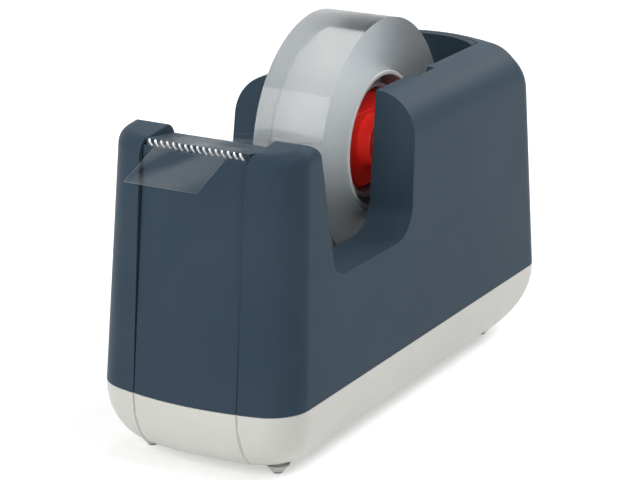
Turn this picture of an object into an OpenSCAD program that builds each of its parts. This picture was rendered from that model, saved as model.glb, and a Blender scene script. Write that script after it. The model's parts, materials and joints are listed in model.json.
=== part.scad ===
// Desktop tape dispenser with a lift-out reel, a finger cut-out in each side and a weighted base.
// Front is -Y, right is +X, the table is z = 0. Lengths are in millimetres.

/* [Body] */
// Length of the body at the line where the covers meet the base
body_len = 141; // [138:0.1:152]
// Width of the body at that line
body_w = 53.6; // [52:0.1:60]
// Height of the rear block's top above the table
body_h = 78.9; // [77:0.1:86]
// Height above the table of the line where the covers meet the base
parting_h = 17.9; // [15:0.1:20]
// Radius of the front face in plan
front_bulge_r = 75; // [65:1:110]
// Radius of the rear face in plan
rear_bulge_r = 75; // [65:1:110]
// Radius of the upright front corners
front_corner_r = 10.5; // [7:0.1:12]
// Radius of the upright rear corners
rear_corner_r = 8; // [6:0.1:12]
// Radius of the rear block's outer top edges
top_round_r = 10.4; // [4:0.1:10.4]
// Height over which the rear face rounds into the top
rear_round_h = 19.4; // [12:0.1:24]
// Width of the flat rim behind the well
rim_w = 0.8; // [0.5:0.1:2]
// Lean of the pillars' front from the upright, in degrees
front_lean = 4.8; // [3:0.1:6]
// Lean of the centre strip on the front, in degrees
strip_lean = 6.1; // [4:0.1:8]
// Lean of the rear face from the upright, in degrees
rear_lean = 5; // [2:0.1:5.5]
// Draft of the side faces, in degrees
side_draft = 1.8; // [0:0.1:2]
// Thickness of the outer walls
wall = 2.2; // [1.6:0.1:2.8]
// Thickness of the covers' inner walls, beside the roll
inner_wall = 3.2; // [2.8:0.1:4]
// Half the distance between the two seams
seam_half = 14; // [13:0.1:14.4]
// Gap between a cover and the centre pieces
seam_gap = 0.3; // [0.1:0.05:0.5]

/* [Pillars and finger cut-outs] */
// Distance of the pillars' rear top edge behind the front face
pillar_setback = 19.4; // [17:0.1:23]
// Drop of that edge below the rear block's top
pillar_drop = 0.9; // [0.5:0.1:3]
// Fall of the pillar tops towards the front, in degrees
pillar_slope = 6; // [0:0.1:8]
// Radius of the pillars' outer top edges
pillar_edge_r = 2.4; // [1:0.1:3.5]
// Depth of the cut-out's floor below the rear block's top
cut_depth = 33.7; // [28:0.1:37]
// Distance of the cut-out's rear top edge behind the front face
cut_rear_setback = 67; // [62:0.1:72]
// Lean of the cut-out's rear face, in degrees
cut_rear_lean = 6; // [0:0.1:9]
// Lean of the pillars' rear face, in degrees
cut_front_lean = 9.3; // [4:0.1:12]
// Radius of the cut-out's rear lower corner
cut_rear_r = 8; // [4:0.1:10]
// Radius of the cut-out's front lower corner
cut_front_r = 5; // [3:0.1:8]

/* [Base and feet] */
// Distance that the base draws in towards its lower edge at the ends
base_round_in = 10.3; // [6:0.1:12]
// Share of that distance at the sides
base_side_share = 0.8; // [0.6:0.05:1]
// Height over which the base draws in
base_round_h = 14.8; // [8:0.1:15]
// Growth of the rear corners' radius for each millimetre drawn in
base_rear_widen = 1.5; // [0:0.1:1.8]
// Width of the grooves that carry on the seams
groove_w = 0.7; // [0.4:0.1:1.2]
// Depth of those grooves
groove_d = 0.5; // [0.3:0.1:0.8]
// Height of the feet under the base
foot_h = 2.3; // [1:0.1:3]
// Radius of a foot where it meets the base
foot_r = 3.3; // [2.5:0.1:4.5]
// Radius of a foot at the table
foot_tip_r = 1.9; // [1.5:0.1:3.5]
// Radius of the peg that holds a foot
foot_peg_r = 1.6; // [1:0.1:2.2]
// Distance of the feet from the sides
foot_inset = 9.5; // [9:0.1:13]
// Distance of the front feet from the front face
foot_setback = 13.9; // [12:0.1:18]
// Distance of the rear feet from the rear face
rear_foot_setback = 20; // [18:0.1:26]

/* [Reel] */
// Outer radius of the wound tape
roll_r = 30.9; // [24:0.1:32.5]
// Width of the tape
tape_w = 19; // [15:0.1:20]
// Distance of the reel's axis behind the front face
reel_setback = 79; // [77:0.1:81]
// Depth of the reel's axis below the rear block's top
reel_drop = 16.3; // [14:0.1:18]
// Outer radius of the core
core_r = 17.8; // [17:0.1:20]
// Wall of the core
core_wall = 1.3; // [0.8:0.1:1.8]
// Gap between the core and the wound tape
wind_gap = 0.05; // [0.02:0.01:0.1]
// Outer radius of the split ring that grips the core
clip_r = 14.3; // [13.8:0.1:15]
// Wall of the split ring
clip_wall = 1; // [0.8:0.1:1.4]
// Opening of the split ring, in degrees
clip_opening = 24; // [12:1:40]
// Turn of that opening up from the rear, in degrees
clip_opening_turn = 42; // [0:1:90]
// Number of ribs on the split ring that bear on the core
clip_ribs = 5; // [3:1:8]
// Width of those ribs
clip_rib_w = 2.4; // [1.5:0.1:3]
// Clearance of the ring on the hub and of its ribs in the core
grip_gap = 0.03; // [0.02:0.01:0.05]
// Half the width of the split ring
clip_half_w = 7; // [5:0.1:7.4]
// Radius of the hub's flat face
hub_face_r = 11.9; // [11:0.1:12.6]
// Distance of that face from the middle of the reel
hub_face_half = 5.4; // [4.5:0.1:7]
// Half the width of the hub's sleeve, which carries the split ring
sleeve_half = 3.4; // [2:0.1:4.4]
// Outer radius of the hub's boss
boss_r = 6.7; // [6:0.1:7.5]
// Radius of the axle
axle_r = 4; // [3:0.1:4.4]
// Running clearance of the axle, as a radius
axle_gap = 0.08; // [0.05:0.01:0.1]
// Depth of the axle's slots in the inner walls
slot_depth = 2; // [1.5:0.1:2.4]
// Slant of those slots from the upright, in degrees
slot_slant = 32; // [20:1:33]

/* [Roll well] */
// Thickness of the well's walls
well_wall = 2; // [1.5:0.1:2.5]
// Room under the roll
roll_clear = 2.8; // [2:0.1:4]
// Room behind the roll as it lifts out
lift_clear = 0.6; // [0.4:0.1:1.5]
// Radius of the well's rounded rear end in plan
well_end_r = 18; // [16.5:0.1:22]

/* [Cutter and tape end] */
// Drop of the teeth's tips below the rear block's top
tip_drop = 1.4; // [0.8:0.1:2.4]
// Number of teeth
teeth = 16; // [10:1:22]
// Distance of the blade's ends from the front panel's edges
blade_inset = 0.9; // [0.3:0.05:2]
// Height of a tooth
tooth_h = 1.4; // [1:0.1:1.8]
// Thickness of the blade
blade_t = 0.6; // [0.4:0.05:0.8]
// Depth that the blade is held in the front panel
blade_hold = 9; // [6:0.5:11]
// Cover in front of the blade's ends
blade_cover = 0.4; // [0.3:0.05:0.7]
// Clearance round the blade and over the teeth
blade_gap = 0.1; // [0.05:0.01:0.2]
// Fall of the platform from the teeth's tips to its rear edge
platform_drop = 1.6; // [1:0.1:2.6]
// Thickness of the platform
platform_t = 2.4; // [1.8:0.1:3]
// Thickness of the tape end
tail_t = 0.12; // [0.08:0.01:0.2]
// Distance that the tape's free end stands out before the front face
tail_overhang = 7; // [3:0.1:12]
// Fall of the free end's tip below the teeth's tips
tail_fall = 5.7; // [2:0.1:10]
// Angle above the axis at which the tape peels off the roll, in degrees
peel_angle = 12.8; // [5:0.1:20]
// Gap between the tape end and the roll
peel_gap = 0.3; // [0.2:0.05:0.5]

/* [Ballast and screws] */
// Length of the ballast block
ballast_len = 96; // [80:1:104]
// Height of the ballast block
ballast_h = 12; // [8:0.1:12.5]
// Gap between the ballast block and the screw posts
ballast_gap = 0.4; // [0.2:0.1:1]
// Radius of the screw posts and of the covers' bosses
post_r = 3.6; // [3.3:0.1:3.8]
// Height of the bosses in the covers
cover_boss_h = 12; // [9:0.5:14]
// Radius of a screw's shank
screw_r = 1.5; // [1.2:0.05:1.7]
// Radius of a screw's head
screw_head_r = 2.7; // [2.3:0.1:2.8]
// Height of a screw's head
screw_head_h = 1.7; // [1.2:0.1:2]
// Clearance round a screw's shank and a foot's peg
screw_gap = 0.03; // [0.02:0.01:0.1]
// Clearance round a screw's head
head_gap = 0.1; // [0.05:0.01:0.2]
// Depth that a screw bites into its boss or the ballast
screw_bite = 8; // [5:0.5:9]
// Distance of the cover screws from the front and rear faces
cover_screw_setback = 28; // [24:0.5:34]
// Distance of the ballast screws from the ends of the block
ballast_screw_inset = 18; // [12:0.5:26]

/* [Hidden] */

$fn = 64;
face_steps = 5;
corner_steps = 9;
round_steps = 8;
least_r = 0.4;
over = 1;

// The origin lies midway between the tape's free end and the rear face
front_y = (tail_overhang - body_len) / 2;
rear_y = front_y + body_len;
centre_w = 2 * (seam_half - seam_gap);
pillar_y = front_y + pillar_setback;
pillar_h = body_h - pillar_drop;
cut_floor_h = body_h - cut_depth;
cut_rear_y = front_y + cut_rear_setback;
mid_y = (pillar_y + cut_rear_y) / 2;
top_r = min(top_round_r, half_w_at(body_h) - seam_half - least_r);

reel_y = front_y + reel_setback;
reel_h = body_h - reel_drop;
sleeve_r = clip_r - clip_wall - grip_gap;
slot_r = axle_r + axle_gap;
axle_half_len = seam_half + slot_depth - seam_gap;
lift_run = (reel_drop + slot_r) * tan(slot_slant);
slot_len = reel_drop + over;

well_floor_h = reel_h - roll_r - roll_clear;
well_end_y = reel_y + lift_run + roll_r + sag(well_end_r, tape_w / 2) + lift_clear;
well_end_centre = well_end_y - well_end_r;
rim_r = well_end_r + well_wall + seam_gap + rim_w;
rear_round_in = max(rear_at(body_h) - well_end_centre - rim_r, least_r);

blade_w = centre_w - 2 * blade_inset;
tooth_pitch = blade_w / teeth;
tip_h = body_h - tip_drop;
tip_y = strip_at(tip_h) + sag(front_bulge_r, blade_w / 2) + blade_cover + blade_gap;
panel_top_h = tip_h - tooth_h;
platform_front_y = tip_y + blade_t + blade_gap;
platform_h = tip_h - platform_drop;
platform_rear_y = pillar_rear_at(platform_h);
platform_front_h = tip_h - platform_drop * (platform_front_y - tip_y) / (platform_rear_y - tip_y);
flange_low = panel_top_h - blade_hold + platform_t;
pocket_h = (tip_h - flange_low) / cos(strip_lean) + seam_gap;

tail_lift = blade_gap;
peel_r = roll_r + peel_gap;
tail_start = [reel_y - peel_r * cos(peel_angle), reel_h + peel_r * sin(peel_angle)];
tail_route = [
    tail_start,
    [platform_rear_y, platform_h + tail_lift],
    [tip_y, tip_h + tail_lift],
    [front_y - tail_overhang, tip_h - tail_fall]
];

tray_floor_h = foot_h + wall;
foot_x = body_w / 2 - foot_inset;
foot_ys = [front_y + foot_setback, rear_y - rear_foot_setback];
base_edge_h = min(base_round_h, parting_h - foot_h - least_r);
ballast_y = front_y + (body_len - ballast_len) / 2;
ballast_top = tray_floor_h + ballast_h;
screw_x = seam_half + post_r + seam_gap;
ballast_w = 2 * (screw_x - post_r - ballast_gap);
cover_screw_ys = [front_y + cover_screw_setback, rear_y - cover_screw_setback];
ballast_screw_ys = [ballast_y + ballast_screw_inset, ballast_y + ballast_len - ballast_screw_inset];
head_seat_h = foot_h + screw_head_h + wall;
pad_h = wall + screw_head_h;
pad_r = screw_head_r + wall;

cover_colour = [0.20, 0.27, 0.33];
inner_colour = [0.16, 0.22, 0.27];
base_colour = [0.88, 0.87, 0.83];
steel_colour = [0.75, 0.76, 0.78];
tape_colour = [0.82, 0.85, 0.85, 0.6];

// Depth of a shallow arc of radius r at a distance x from its crown
function sag(r, x) = r - sqrt(r * r - x * x);

function half_w_at(z) = body_w / 2 - (z - parting_h) * tan(side_draft);
function front_at(z) = front_y + (z - parting_h) * tan(front_lean);
function strip_at(z) = front_y + (z - parting_h) * tan(strip_lean);
function rear_at(z) = rear_y - (z - parting_h) * tan(rear_lean);
function pillar_top_at(y) = pillar_h + (y - pillar_y) * tan(pillar_slope);
function pillar_rear_at(z) = pillar_y + (pillar_h - z) * tan(cut_front_lean);
function cut_rear_at(z) = cut_rear_y - (body_h - z) * tan(cut_rear_lean);

// Corner radius, limited by the room between x = from_x and the side
function fit_corner(r, side, from_x) = max(min(r, side - from_x - least_r), least_r);

function reversed(points) = [for (i = [len(points) - 1 : -1 : 0]) points[i]];
function at_height(points, z) = [for (p = points) [p[0], p[1], z]];

// Front outline in plan: a shallow arc from x = from_x, then the corner round to the side
function front_outline(half_w, front, bulge_r, corner_r, from_x) =
    let (
        bulge_y = front + bulge_r,
        corner_x = half_w - corner_r,
        corner_y = bulge_y - sqrt(pow(bulge_r - corner_r, 2) - pow(corner_x, 2)),
        turn = atan2(corner_y - bulge_y, corner_x),
        start = -acos(from_x / bulge_r)
    )
    concat(
        [for (i = [0 : face_steps])
            let (a = start + (turn - start) * i / face_steps)
            [bulge_r * cos(a), bulge_y + bulge_r * sin(a)]],
        [for (i = [1 : corner_steps])
            let (a = turn * (1 - i / corner_steps))
            [corner_x + corner_r * cos(a), corner_y + corner_r * sin(a)]]
    );

// The same at the rear, from the side round to x = from_x
function rear_outline(half_w, rear, bulge_r, corner_r, from_x) =
    [for (p = reversed(front_outline(half_w, -rear, bulge_r, corner_r, from_x))) [p[0], -p[1]]];

// How far each point of such an outline takes the side's height: not along the face, wholly at the side
side_shares = concat(
    [for (i = [0 : face_steps]) 0],
    [for (i = [1 : corner_steps]) let (t = i / corner_steps) t * t * (3 - 2 * t)]
);

// The rear face as it rounds into the top: its height, its place and its radius in plan at the angle a
function back_z(inset, a) = body_h - inset - max(rear_round_h - inset, least_r) * (1 - sin(a));
function back_y(inset, a, z) = rear_at(z) - inset - max(rear_round_in - inset, least_r) * (1 - cos(a));
function back_bulge(inset, a) = rear_bulge_r * cos(a) + rim_r * (1 - cos(a)) - inset * cos(a);

// Ring of the right cover in space, set in from the outside: step -1 is its foot, the later steps round
// its top. The front half follows the sloping pillar top and the rear half the block's rounded one.
function cover_ring(inset, from_x, step) =
    let (
        a = 90 * max(step, 0) / round_steps,
        front_r = max(pillar_edge_r - inset, least_r),
        side_r = max(top_r - inset, least_r),
        front_z = step < 0 ? parting_h : pillar_h - front_r,
        side_z = step < 0 ? parting_h : body_h - inset - side_r * (1 - sin(a)),
        rear_z = step < 0 ? parting_h : back_z(inset, a),
        front_in = inset + front_r * (1 - cos(a)),
        side_in = inset + side_r * (1 - cos(a)),
        front_side = max(half_w_at(front_z) - front_in, from_x + 2 * least_r),
        rear_side = max(half_w_at(side_z) - side_in, from_x + 2 * least_r),
        front_points = concat(
            [[from_x, mid_y - over]],
            front_outline(front_side, front_at(front_z) + front_in, front_bulge_r - front_in,
                fit_corner(front_corner_r - front_in, front_side, from_x), from_x),
            [[front_side, mid_y - over]]
        ),
        rear_points = rear_outline(rear_side, back_y(inset, a, rear_z), back_bulge(inset, a),
            fit_corner(rear_corner_r - inset, rear_side, from_x), from_x),
        rear_shares = reversed(side_shares)
    )
    concat(
        [for (p = front_points)
            [p[0], p[1], step < 0 ? parting_h : pillar_top_at(p[1]) - inset - front_r * (1 - sin(a))]],
        [[rear_side, mid_y + over, side_z]],
        [for (i = [0 : len(rear_points) - 1])
            [rear_points[i][0], rear_points[i][1], rear_z + (side_z - rear_z) * rear_shares[i]]],
        [[from_x, mid_y + over, side_z]]
    );

// Whole plan of the base, drawn in towards its lower edge and set in from the outside
function base_ring(draw, inset) =
    let (
        half_w = body_w / 2 - base_side_share * draw - inset,
        rear_r = min(rear_corner_r + base_rear_widen * draw, 0.8 * half_w),
        right = concat(
            front_outline(half_w, front_y + draw + inset, front_bulge_r, front_corner_r, 0),
            rear_outline(half_w, rear_y - draw - inset, rear_bulge_r, rear_r, 0)
        ),
        last = len(right) - 1
    )
    concat(right, [for (i = [last - 1 : -1 : 1]) [-right[i][0], right[i][1]]]);

// Solid through a stack of rings that have the same number of points. Its two ends may be closed by
// several flat faces, each a list of places in the ring.
module loft(rings, end_faces = []) {
    n = len(rings[0]);
    last = len(rings) - 1;
    sides = [for (k = [0 : last - 1], i = [0 : n - 1])
        let (a = k * n + i, b = k * n + (i + 1) % n)
        each [[a, b + n, b], [a, a + n, b + n]]];
    ends = len(end_faces) > 0 ? end_faces : [[for (i = [0 : n - 1]) i]];
    tops = [for (face = ends) [for (i = reversed(face)) last * n + i]];
    polyhedron([for (ring = rings) each ring], concat(ends, sides, tops));
}

// Side profile (y, z) drawn out along x
module across(from_x, to_x) {
    translate([from_x, 0, 0]) rotate([90, 0, 90]) linear_extrude(to_x - from_x) children();
}

// Cylinder along x, centred on the reel's axis
module reel_cylinder(r, half_len) {
    translate([-half_len, reel_y, reel_h]) rotate([0, 90, 0]) cylinder(r = r, h = 2 * half_len);
}

// Rings of the right cover without its finger cut-out, from its foot to its top
function cover_rings(inset, from_x) =
    [for (step = [-1 : round_steps]) cover_ring(inset, from_x, step)];

// Solid through such rings, with its ends closed over the pillar, the step behind it and the rear block
module cover_loft(rings) {
    half = len(rings[0]) / 2;
    loft(rings, [
        [for (i = [0 : half - 1]) i],
        [half - 1, half, 2 * half - 1, 0],
        [for (i = [half : 2 * half - 1]) i]
    ]);
}

// Finger cut-out seen from the side, grown outwards by a wall where asked
module cut_profile(grow) {
    low = cut_floor_h - grow;
    high = body_h + 2 * over;
    front_r = cut_front_r + grow;
    rear_r = cut_rear_r + grow;
    front_shift = grow / cos(cut_front_lean);
    rear_shift = grow / cos(cut_rear_lean);
    front_c = pillar_rear_at(low + front_r) - front_shift + front_r / cos(cut_front_lean);
    rear_c = cut_rear_at(low + rear_r) + rear_shift - rear_r / cos(cut_rear_lean);
    front_from = 180 + cut_front_lean;
    rear_to = 360 - cut_rear_lean;
    polygon(concat(
        [[pillar_rear_at(high) - front_shift, high]],
        [for (i = [0 : corner_steps])
            let (a = front_from + (270 - front_from) * i / corner_steps)
            [front_c + front_r * cos(a), low + front_r + front_r * sin(a)]],
        [for (i = [0 : corner_steps])
            let (a = 270 + (rear_to - 270) * i / corner_steps)
            [rear_c + rear_r * cos(a), low + rear_r + rear_r * sin(a)]],
        [[cut_rear_at(high) + rear_shift, high]]
    ));
}

// Slanted slot, open at the top, in which the axle rests
module axle_slot() {
    translate([seam_half - over, reel_y, reel_h]) rotate([-slot_slant, 0, 0]) {
        rotate([0, 90, 0]) cylinder(r = slot_r, h = slot_depth + over);
        translate([0, -slot_r, 0])
            cube([slot_depth + over, 2 * slot_r, slot_len / cos(slot_slant) + slot_r]);
    }
}

module cover() {
    difference() {
        union() {
            cover_loft(concat(
                reversed(cover_rings(wall, seam_half + inner_wall)),
                cover_rings(0, seam_half)
            ));
            intersection() {
                cover_loft(cover_rings(wall / 2, seam_half + inner_wall / 2));
                across(seam_half, body_w) cut_profile(wall);
            }
            for (y = cover_screw_ys) {
                translate([screw_x, y, parting_h]) cylinder(r = post_r, h = cover_boss_h);
            }
        }
        across(0, body_w) cut_profile(0);
        axle_slot();
        for (y = cover_screw_ys) {
            translate([screw_x, y, parting_h - over])
                cylinder(r = screw_r + screw_gap, h = screw_bite + 2 * over);
        }
    }
}

module right_cover() {
    color(cover_colour) cover();
}

module left_cover() {
    color(cover_colour) mirror([1, 0, 0]) cover();
}

// Blade outline with its teeth, standing on edge, grown by a clearance where asked
module blade_plate(grow) {
    half_w = blade_w / 2 + grow;
    translate([0, tip_y, tip_h]) rotate([-strip_lean, 0, 0]) translate([0, blade_t + grow, 0])
        rotate([90, 0, 0]) linear_extrude(blade_t + 2 * grow)
            polygon(concat(
                [[half_w, -tooth_h - blade_hold - grow], [half_w, -tooth_h]],
                [for (i = [teeth - 1 : -1 : 0]) each [
                    [-blade_w / 2 + (i + 0.5) * tooth_pitch, 0],
                    [-blade_w / 2 + i * tooth_pitch - (i == 0 ? grow : 0), -tooth_h]
                ]],
                [[-half_w, -tooth_h - blade_hold - grow]]
            ));
}

// Curved strip, with room behind its top for the blade and the platform's flange
module front_panel() {
    xs = [for (i = [0 : 2 * face_steps]) centre_w * (i / (2 * face_steps) - 0.5)];
    color(cover_colour) difference() {
        loft([for (z = [parting_h, panel_top_h])
            concat(
                [for (x = xs) [x, strip_at(z) + sag(front_bulge_r, x), z]],
                [for (x = reversed(xs)) [x, strip_at(z) + wall + sag(front_bulge_r - wall, x), z]]
            )]);
        blade_plate(blade_gap);
        translate([0, tip_y, tip_h]) rotate([-strip_lean, 0, 0])
            translate([-centre_w, -blade_gap, -pocket_h]) cube([2 * centre_w, 3 * wall, pocket_h + over]);
    }
}

// Centre strip over the rear block, drawn from the well's end to the rear face
module rear_strip(inset, strip_w, from_y, low) {
    xs = [for (i = [0 : 2 * face_steps]) strip_w * (0.5 - i / (2 * face_steps))];
    loft([for (k = [-1 : round_steps])
        let (
            a = 90 * max(k, 0) / round_steps,
            z = k < 0 ? low : back_z(inset, a)
        )
        concat(
            [[-strip_w / 2, from_y, z], [strip_w / 2, from_y, z]],
            [for (x = xs) [x, back_y(inset, a, z) - sag(back_bulge(inset, a), x), z]]
        )]);
}

module rear_panel() {
    color(cover_colour) difference() {
        rear_strip(0, centre_w, well_end_centre, parting_h);
        rear_strip(wall, centre_w + 2 * over, well_end_centre - over, parting_h - over);
        translate([0, well_end_centre, 0])
            cylinder(r = well_end_r + well_wall + seam_gap, h = body_h + over);
    }
}

// Trough between the covers: a front wall up to the platform, a floor and a rounded rear end
module roll_well() {
    under = well_floor_h - well_wall;
    high = platform_h - platform_t;
    color(inner_colour) {
        across(-centre_w / 2, centre_w / 2) polygon([
            [pillar_rear_at(high), high],
            [pillar_rear_at(well_floor_h), well_floor_h],
            [well_end_centre, well_floor_h],
            [well_end_centre, under],
            [pillar_rear_at(under) - well_wall, under],
            [pillar_rear_at(high) - well_wall, high]
        ]);
        intersection() {
            translate([0, well_end_centre, under]) difference() {
                cylinder(r = well_end_r + well_wall, h = body_h - under);
                translate([0, 0, well_wall]) cylinder(r = well_end_r, h = body_h);
            }
            translate([-centre_w / 2, well_end_centre, under])
                cube([centre_w, 2 * well_end_r, body_h - under]);
        }
        for (y = ballast_screw_ys) {
            translate([-centre_w / 2 + wall, y - well_wall / 2, ballast_top])
                cube([centre_w - 2 * wall, well_wall, under - ballast_top + well_wall / 2]);
        }
    }
}

// Base solid, set in by a wall where asked
module base_form(inset, high) {
    round_h = max(base_edge_h - inset, least_r);
    round_in = max(base_round_in - inset, least_r);
    loft(concat(
        [for (i = [0 : round_steps])
            let (a = 90 * (1 - i / round_steps))
            at_height(base_ring(round_in * (1 - cos(a)), inset), foot_h + inset + round_h * (1 - sin(a)))],
        [at_height(base_ring(0, inset), high)]
    ));
}

module base_tray() {
    color(base_colour) difference() {
        union() {
            difference() {
                base_form(0, parting_h);
                base_form(wall, parting_h + over);
            }
            intersection() {
                base_form(wall / 2, parting_h);
                union() {
                    for (x = [-screw_x, screw_x], y = cover_screw_ys) {
                        translate([x, y, foot_h]) cylinder(r = post_r, h = parting_h - foot_h);
                    }
                    for (y = ballast_screw_ys) {
                        translate([0, y, foot_h]) cylinder(r = pad_r, h = pad_h);
                    }
                }
            }
        }
        for (x = [-screw_x, screw_x], y = cover_screw_ys) {
            translate([x, y, foot_h - over]) {
                cylinder(r = screw_head_r + head_gap, h = head_seat_h - foot_h + over);
                cylinder(r = screw_r + screw_gap, h = parting_h);
            }
        }
        for (y = ballast_screw_ys) {
            translate([0, y, foot_h - over]) {
                cylinder(r = screw_head_r + head_gap, h = screw_head_h + over);
                cylinder(r = screw_r + screw_gap, h = pad_h + 2 * over);
            }
        }
        for (x = [-foot_x, foot_x], y = foot_ys) {
            translate([x, y, foot_h - over]) cylinder(r = foot_peg_r + screw_gap, h = wall + 2 * over);
        }
        difference() {
            for (x = [-seam_half, seam_half]) {
                translate([x - groove_w / 2, front_y - over, foot_h - over])
                    cube([groove_w, body_len + 2 * over, parting_h]);
            }
            base_form(groove_d, parting_h + 2 * over);
        }
    }
}

module ballast_block() {
    color(steel_colour) difference() {
        translate([-ballast_w / 2, ballast_y, tray_floor_h]) cube([ballast_w, ballast_len, ballast_h]);
        for (y = ballast_screw_ys) {
            translate([0, y, foot_h]) {
                cylinder(r = pad_r + ballast_gap, h = pad_h);
                cylinder(r = screw_r + screw_gap, h = pad_h + screw_bite);
            }
        }
    }
}

// Pan-head screw standing on its head, with the head's seat at z = 0
module screw(shank) {
    translate([0, 0, -screw_head_h]) cylinder(r = screw_head_r, h = screw_head_h);
    cylinder(r = screw_r, h = shank);
}

module ballast_screws() {
    color(steel_colour) for (y = ballast_screw_ys) {
        translate([0, y, foot_h + screw_head_h]) screw(wall + screw_bite - over);
    }
}

module cover_screws() {
    color(steel_colour) for (x = [-screw_x, screw_x], y = cover_screw_ys) {
        translate([x, y, head_seat_h]) screw(parting_h - head_seat_h + screw_bite);
    }
}

module foot(x, y) {
    color([0.45, 0.46, 0.47]) translate([x, y, 0]) {
        cylinder(r1 = foot_tip_r, r2 = foot_r, h = foot_h);
        cylinder(r = foot_peg_r, h = foot_h + wall);
    }
}

module cutter_blade() {
    color(steel_colour) blade_plate(0);
}

// Sloping ledge with a flange that backs the blade
module tape_platform() {
    lean = tan(strip_lean);
    color(inner_colour) across(-centre_w / 2, centre_w / 2) polygon([
        [platform_front_y, platform_front_h],
        [platform_rear_y, platform_h],
        [pillar_rear_at(platform_h - platform_t), platform_h - platform_t],
        [platform_front_y + wall, platform_h - platform_t],
        [platform_front_y + wall - (platform_front_h - flange_low) * lean, flange_low],
        [platform_front_y - (platform_front_h - flange_low) * lean, flange_low]
    ]);
}

// Strip of tape from the roll over the platform and the teeth to its free end
module tape_tail() {
    color(tape_colour) across(-tape_w / 2, tape_w / 2)
        polygon(concat(tail_route, [for (p = reversed(tail_route)) [p[0], p[1] + tail_t]]));
}

module axle() {
    color(steel_colour) reel_cylinder(axle_r, axle_half_len);
}

// Hub with a long boss round the axle, a flat face and a sleeve for the split ring
module reel_hub() {
    color([0.72, 0.12, 0.10]) difference() {
        union() {
            reel_cylinder(boss_r, tape_w / 2);
            reel_cylinder(hub_face_r, hub_face_half);
            reel_cylinder(sleeve_r, sleeve_half);
        }
        reel_cylinder(axle_r + axle_gap, tape_w);
    }
}

// Split ring that grips the core: ribs on its outside bear on the core's bore
module core_clip() {
    bore = core_r - core_wall - grip_gap;
    opening_w = 2 * clip_r * sin(clip_opening / 2);
    first = clip_opening_turn + 180 / clip_ribs;
    color([0.85, 0.83, 0.83]) difference() {
        union() {
            reel_cylinder(clip_r, clip_half_w);
            intersection() {
                reel_cylinder(bore, clip_half_w);
                for (i = [0 : clip_ribs - 1]) {
                    translate([0, reel_y, reel_h]) rotate([first + 360 * i / clip_ribs, 0, 0])
                        translate([-clip_half_w, 0, -clip_rib_w / 2])
                            cube([2 * clip_half_w, core_r, clip_rib_w]);
                }
            }
        }
        reel_cylinder(sleeve_r + grip_gap, clip_half_w + over);
        translate([0, reel_y, reel_h]) rotate([clip_opening_turn, 0, 0])
            translate([-core_r, 0, -opening_w / 2]) cube([2 * core_r, core_r, opening_w]);
    }
}

module tape_core() {
    color([0.93, 0.93, 0.92]) difference() {
        reel_cylinder(core_r, tape_w / 2);
        reel_cylinder(core_r - core_wall, tape_w);
    }
}

module tape_roll() {
    color(tape_colour) difference() {
        reel_cylinder(roll_r, tape_w / 2);
        reel_cylinder(core_r + wind_gap, tape_w);
    }
}

right_cover();
left_cover();
front_panel();
rear_panel();
roll_well();
base_tray();
ballast_block();
ballast_screws();
cover_screws();
foot(-foot_x, foot_ys[0]);  // foot_front_left
foot(foot_x, foot_ys[0]);  // foot_front_right
foot(-foot_x, foot_ys[1]);  // foot_rear_left
foot(foot_x, foot_ys[1]);  // foot_rear_right
cutter_blade();
tape_platform();
tape_tail();
axle();
reel_hub();
core_clip();
tape_core();
tape_roll();
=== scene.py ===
import bpy
import bmesh
import json
import math
from mathutils import Matrix, Vector

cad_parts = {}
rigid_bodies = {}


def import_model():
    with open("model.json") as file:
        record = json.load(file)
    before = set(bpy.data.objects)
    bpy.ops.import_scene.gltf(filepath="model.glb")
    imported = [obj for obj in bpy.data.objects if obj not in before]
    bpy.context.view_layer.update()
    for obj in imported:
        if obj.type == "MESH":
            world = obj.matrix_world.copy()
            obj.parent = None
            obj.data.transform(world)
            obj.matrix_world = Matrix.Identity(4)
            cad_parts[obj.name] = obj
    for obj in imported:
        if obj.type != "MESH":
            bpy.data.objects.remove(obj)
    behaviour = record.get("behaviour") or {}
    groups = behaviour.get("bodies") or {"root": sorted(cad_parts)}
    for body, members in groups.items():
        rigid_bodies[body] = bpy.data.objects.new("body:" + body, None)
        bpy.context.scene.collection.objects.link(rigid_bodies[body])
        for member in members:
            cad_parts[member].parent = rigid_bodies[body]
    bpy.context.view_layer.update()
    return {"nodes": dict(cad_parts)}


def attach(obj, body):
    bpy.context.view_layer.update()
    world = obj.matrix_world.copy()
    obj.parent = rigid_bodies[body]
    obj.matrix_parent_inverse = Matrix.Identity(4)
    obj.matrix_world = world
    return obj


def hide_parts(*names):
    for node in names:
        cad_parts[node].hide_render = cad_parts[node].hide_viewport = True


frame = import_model()
nodes = frame["nodes"]
scene = bpy.context.scene
mm = 0.001
near = 0.01  # millimetres within which places count as the same
weld = 0.001  # millimetres within which points merge
mostly = 0.5  # share of a normal along an axis from which a face looks that way
print("frame loaded:", len(nodes), "nodes")

# the camera stands where the photo was taken from
shot = {"eye": (0.2889, -0.51285, 0.2307), "azimuth": 29.52, "elevation": 18.06, "lens": 140.4, "sensor": 36,
        "nearest": 0.01}


def setCamera():
    az, el = math.radians(shot["azimuth"]), math.radians(shot["elevation"])
    look = Vector((-math.sin(az) * math.cos(el), math.cos(az) * math.cos(el), -math.sin(el)))
    data = bpy.data.cameras.new("shotCamera")
    data.sensor_width = shot["sensor"]
    data.lens = shot["lens"]
    data.clip_start = shot["nearest"]
    camera = bpy.data.objects.new("shotCamera", data)
    scene.collection.objects.link(camera)
    camera.location = shot["eye"]
    camera.rotation_euler = look.to_track_quat("-Z", "Y").to_euler()
    scene.camera = camera


setCamera()
print("camera set")

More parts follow.
